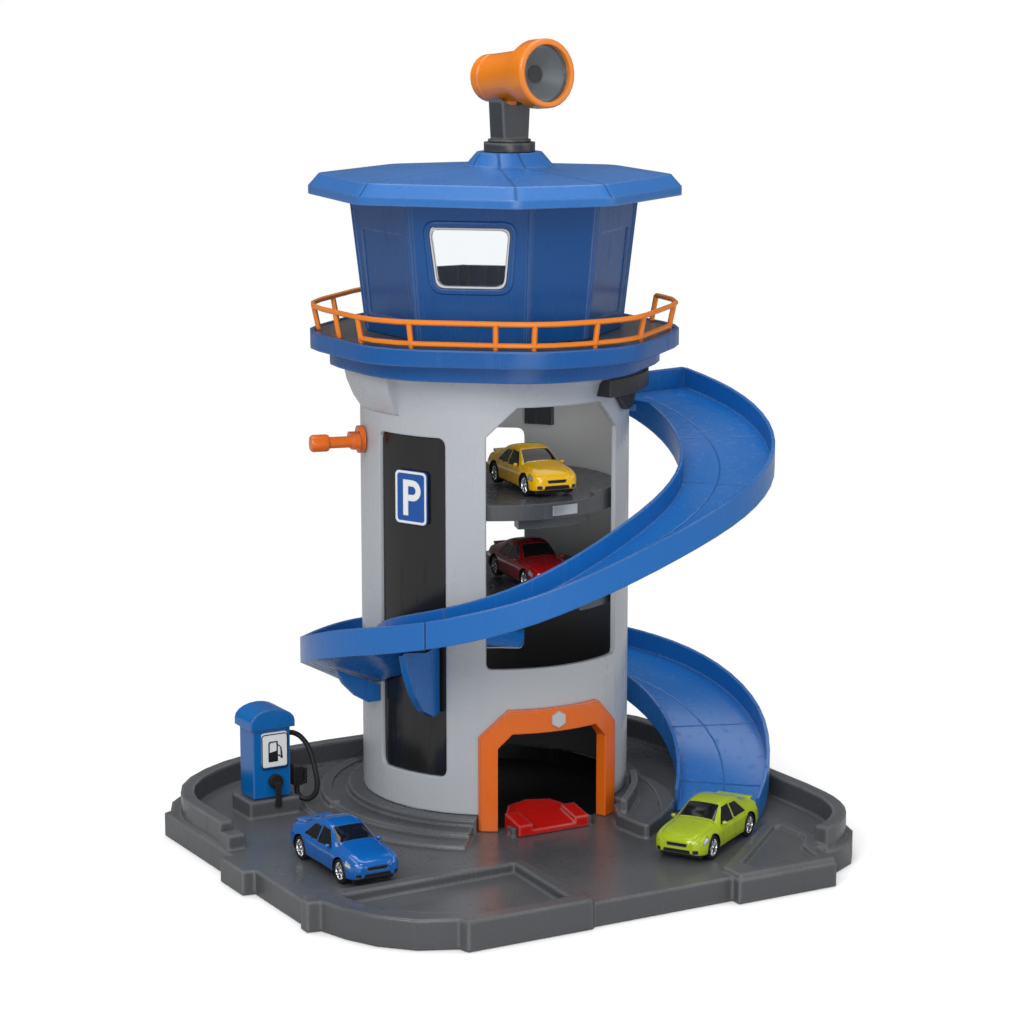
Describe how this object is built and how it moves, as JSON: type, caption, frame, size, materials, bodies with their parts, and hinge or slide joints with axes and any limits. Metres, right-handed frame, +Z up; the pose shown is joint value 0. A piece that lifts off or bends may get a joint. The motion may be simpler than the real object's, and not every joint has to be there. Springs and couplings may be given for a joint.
{
  "type": "toy parking garage with lift",
  "caption": "Toy multi-storey garage: round tower with a crank-driven belt lift, spiral car ramp, railed gallery, lookout cabin with a swivelling scope, fuel pump and cars.",
  "frame": {"origin": "on the tower axis, at the underside of the base where it rests on the floor", "axes": "+Z up along the tower, -Y out of the entrance arch, +X to the right seen from the entrance"},
  "size_m": [0.3132, 0.2967, 0.4098],
  "materials": {
    "base_grey": "satin moulded",
    "tower_grey": "satin moulded",
    "panel_black": "glossy panel",
    "works_dark": "satin moulded",
    "gallery_blue": "glossy moulded",
    "cabin_blue": "glossy moulded",
    "ramp_blue": "glossy moulded",
    "orange": "glossy moulded",
    "pad_red": "glossy moulded",
    "pump_blue": "glossy moulded",
    "silver": "silver lacquered",
    "steel": "drawn rod",
    "white": "printed plate",
    "belt_rubber": "matte",
    "clear": "clear pane",
    "blue_paint": "glossy car body",
    "lime_paint": "glossy car body",
    "yellow_paint": "glossy car body",
    "red_paint": "glossy car body",
    "car_underside": "matte moulded",
    "wheel_black": "soft tyre with a bright hub"
  },
  "bodies": {
    "garage": {"base_plate": "base_grey", "tower_shell": "tower_grey", "entrance_arch": "orange", "side_panel": "panel_black", "parking_sign": "gallery_blue", "gallery_deck": "gallery_blue", "gallery_floor": "base_grey", "gallery_railing": "orange", "cabin_shell": "cabin_blue", "cabin_pane": "clear", "window_trim": "silver", "roof": "gallery_blue", "scope_collar": "works_dark", "ramp_top": "ramp_blue", "ramp_middle": "ramp_blue", "ramp_bottom": "ramp_blue", "ramp_bracket_left": "ramp_blue", "ramp_bracket_right": "ramp_blue", "exit_arm": "panel_black", "crank_bushing": "orange", "idler_bracket": "base_grey", "drive_belt": "belt_rubber", "lift_head": "works_dark", "guide_rods": "steel", "deck_guide": "works_dark", "pump_body": "pump_blue", "pump_cap": "pump_blue", "pump_sign": "white", "pump_holster": "belt_rubber", "pump_hose": "belt_rubber", "pump_nozzle": "belt_rubber"},
    "lift": {"lift_carriage": "works_dark", "upper_deck": "works_dark", "lower_deck": "works_dark", "deck_label": "silver"},
    "crank": {"crank_arm": "orange", "drive_pulley": "works_dark"},
    "knob": {"crank_knob": "orange"},
    "idler": {"idler_pulley": "works_dark"},
    "flap": {"boarding_flap": "pad_red"},
    "scope_mast": {"scope_post": "works_dark"},
    "scope_head": {"scope_tube": "orange", "scope_lens": "clear", "scope_cone": "panel_black"},
    "blue_car": {"blue_car_body": "blue_paint", "blue_car_chassis": "car_underside"},
    "blue_car_front_axle": {"blue_car_front_wheels": "wheel_black"},
    "blue_car_rear_axle": {"blue_car_rear_wheels": "wheel_black"},
    "lime_car": {"lime_car_body": "lime_paint", "lime_car_chassis": "car_underside"},
    "lime_car_front_axle": {"lime_car_front_wheels": "wheel_black"},
    "lime_car_rear_axle": {"lime_car_rear_wheels": "wheel_black"},
    "yellow_car": {"yellow_car_body": "yellow_paint", "yellow_car_chassis": "car_underside"},
    "yellow_car_front_axle": {"yellow_car_front_wheels": "wheel_black"},
    "yellow_car_rear_axle": {"yellow_car_rear_wheels": "wheel_black"},
    "red_car": {"red_car_body": "red_paint", "red_car_chassis": "car_underside"},
    "red_car_front_axle": {"red_car_front_wheels": "wheel_black"},
    "red_car_rear_axle": {"red_car_rear_wheels": "wheel_black"}
  },
  "joints": [
    {"name": "lift_travel", "type": "slide", "parent": "garage", "child": "lift", "axis": [0, 0, 1], "range_m": [-0.1095, 0.0388]},
    {"name": "crank_turn", "type": "hinge", "parent": "garage", "child": "crank", "pos_m": [-0.06807, 0.01634, 0.206], "axis": [-0.9724, 0.2334, 0], "range_deg": [-703, 250]},
    {"name": "crank_knob_spin", "type": "hinge", "parent": "crank", "child": "knob", "pos_m": [-0.09401, 0.01537, 0.206], "axis": [-0.9724, 0.2334, 0], "continuous": true},
    {"name": "idler_turn", "type": "hinge", "parent": "garage", "child": "idler", "pos_m": [-0.05669, 0.01361, 0.026], "axis": [-0.9724, 0.2334, 0], "range_deg": [-703, 250]},
    {"name": "scope_swivel", "type": "hinge", "parent": "garage", "child": "scope_mast", "pos_m": [0.0067, -0.0038, 0.358], "axis": [0, 0, 1], "continuous": true},
    {"name": "scope_tilt", "type": "hinge", "parent": "scope_mast", "child": "scope_head", "pos_m": [0.0067, -0.0038, 0.3701], "axis": [0.9925, 0.1219, 0], "range_deg": [-8, 8]},
    {"name": "flap_tilt", "type": "hinge", "parent": "garage", "child": "flap", "pos_m": [0, -0.0735, 0.0141], "axis": [1, 0, 0], "range_deg": [0, 4]},
    {"name": "blue_car_lift_off", "type": "slide", "parent": "garage", "child": "blue_car", "axis": [0, 0, 1], "range_m": [0, 0.04]},
    {"name": "blue_car_front_roll", "type": "hinge", "parent": "blue_car", "child": "blue_car_front_axle", "pos_m": [-0.1283, -0.0998, 0.0182], "axis": [1, 0, 0], "continuous": true},
    {"name": "blue_car_rear_roll", "type": "hinge", "parent": "blue_car", "child": "blue_car_rear_axle", "pos_m": [-0.1283, -0.0562, 0.0182], "axis": [1, 0, 0], "continuous": true},
    {"name": "lime_car_lift_off", "type": "slide", "parent": "garage", "child": "lime_car", "axis": [0, 0, 1], "range_m": [0, 0.04]},
    {"name": "lime_car_front_roll", "type": "hinge", "parent": "lime_car", "child": "lime_car_front_axle", "pos_m": [0.02811, -0.14555, 0.0182], "axis": [0.5299, -0.848, 0], "continuous": true},
    {"name": "lime_car_rear_roll", "type": "hinge", "parent": "lime_car", "child": "lime_car_rear_axle", "pos_m": [0.06509, -0.12245, 0.0182], "axis": [0.5299, -0.848, 0], "continuous": true},
    {"name": "yellow_car_lift_off", "type": "slide", "parent": "lift", "child": "yellow_car", "axis": [0, 0, 1], "range_m": [0, 0.003]},
    {"name": "yellow_car_front_roll", "type": "hinge", "parent": "yellow_car", "child": "yellow_car_front_axle", "pos_m": [0.00615, -0.0437, 0.18548], "axis": [0.9914, -0.1305, 0], "continuous": true},
    {"name": "yellow_car_rear_roll", "type": "hinge", "parent": "yellow_car", "child": "yellow_car_rear_axle", "pos_m": [0.01145, -0.0035, 0.18548], "axis": [0.9914, -0.1305, 0], "continuous": true},
    {"name": "red_car_lift_off", "type": "slide", "parent": "lift", "child": "red_car", "axis": [0, 0, 1], "range_m": [0, 0.003]},
    {"name": "red_car_front_roll", "type": "hinge", "parent": "red_car", "child": "red_car_front_axle", "pos_m": [0.00615, -0.0437, 0.13578], "axis": [0.9914, -0.1305, 0], "continuous": true},
    {"name": "red_car_rear_roll", "type": "hinge", "parent": "red_car", "child": "red_car_rear_axle", "pos_m": [0.01145, -0.0035, 0.13578], "axis": [0.9914, -0.1305, 0], "continuous": true}
  ],
  "couplings": [
    {"joint": "crank_turn", "follows": "lift_travel", "rad_per_m": 111.86},
    {"joint": "idler_turn", "follows": "lift_travel", "rad_per_m": 111.86}
  ]
}
